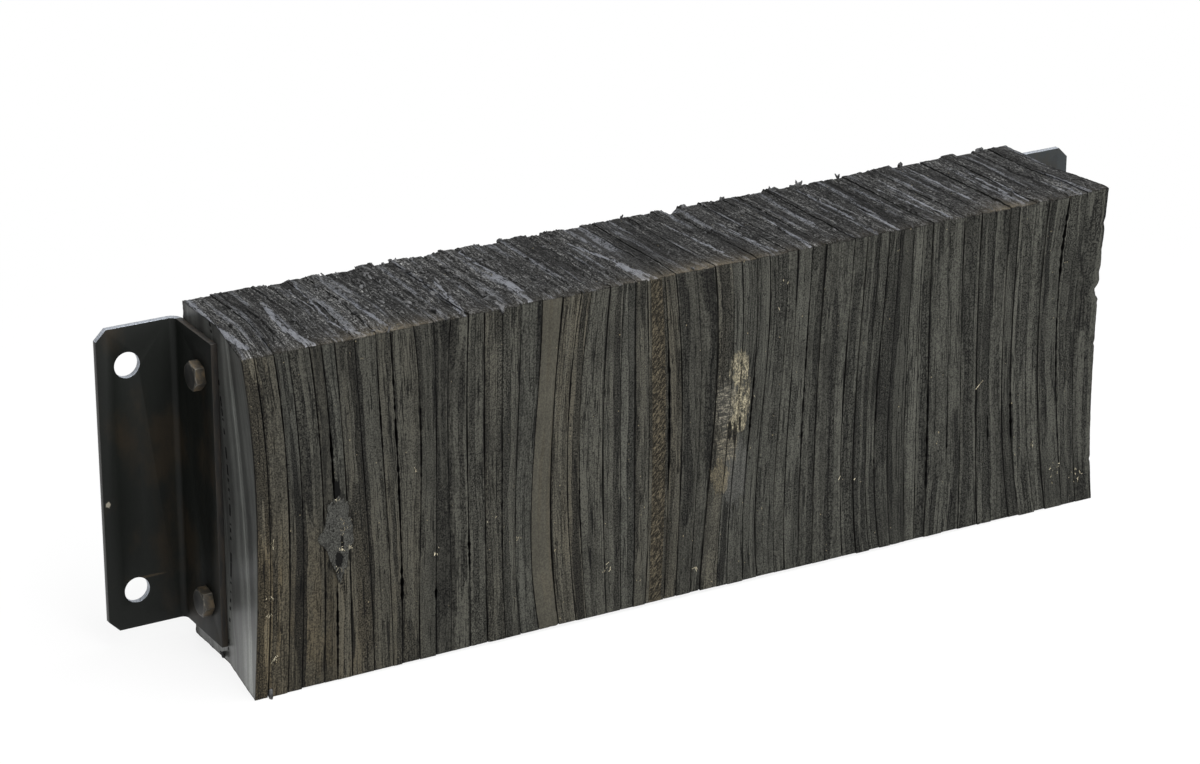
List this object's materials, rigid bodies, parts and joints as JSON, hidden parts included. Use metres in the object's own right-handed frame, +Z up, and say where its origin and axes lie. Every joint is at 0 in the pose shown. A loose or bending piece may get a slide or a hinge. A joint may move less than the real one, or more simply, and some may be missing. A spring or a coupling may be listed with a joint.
{
  "type": "dock bumper",
  "caption": "Laminated dock bumper: rubber plies on edge, squeezed between two steel angles by tie bolts, bolted to a wall through the angles' flanges.",
  "frame": {"origin": "centre of the four wall holes, on the plane of the wall", "axes": "+X along the stack of plies towards the nuts, +Y into the wall, +Z up"},
  "size_m": [0.823, 0.1314, 0.2546],
  "materials": {
    "ply_rubber": "matte",
    "angle_steel": "satin",
    "bolt_steel": "satin"
  },
  "bodies": {
    "root": {"left_angle": "angle_steel", "right_angle": "angle_steel", "tie_bolts": "bolt_steel", "tie_nuts": "bolt_steel", "ply_01": "ply_rubber", "ply_02": "ply_rubber", "ply_03": "ply_rubber", "ply_04": "ply_rubber", "ply_05": "ply_rubber", "ply_06": "ply_rubber", "ply_07": "ply_rubber", "ply_08": "ply_rubber", "ply_09": "ply_rubber", "ply_10": "ply_rubber", "ply_11": "ply_rubber", "ply_12": "ply_rubber", "ply_13": "ply_rubber", "ply_14": "ply_rubber", "ply_15": "ply_rubber", "ply_16": "ply_rubber", "ply_17": "ply_rubber", "ply_18": "ply_rubber", "ply_19": "ply_rubber", "ply_20": "ply_rubber", "ply_21": "ply_rubber", "ply_22": "ply_rubber", "ply_23": "ply_rubber", "ply_24": "ply_rubber", "ply_25": "ply_rubber", "ply_26": "ply_rubber", "ply_27": "ply_rubber", "ply_28": "ply_rubber", "ply_29": "ply_rubber", "ply_30": "ply_rubber", "ply_31": "ply_rubber", "ply_32": "ply_rubber", "ply_33": "ply_rubber", "ply_34": "ply_rubber", "ply_35": "ply_rubber", "ply_36": "ply_rubber", "ply_37": "ply_rubber", "ply_38": "ply_rubber", "ply_39": "ply_rubber", "ply_40": "ply_rubber", "ply_41": "ply_rubber", "ply_42": "ply_rubber", "ply_43": "ply_rubber", "ply_44": "ply_rubber", "ply_45": "ply_rubber", "ply_46": "ply_rubber", "ply_47": "ply_rubber", "ply_48": "ply_rubber", "ply_49": "ply_rubber", "ply_50": "ply_rubber", "ply_51": "ply_rubber", "ply_52": "ply_rubber", "ply_53": "ply_rubber", "ply_54": "ply_rubber", "ply_55": "ply_rubber", "ply_56": "ply_rubber"}
  },
  "joints": []
}
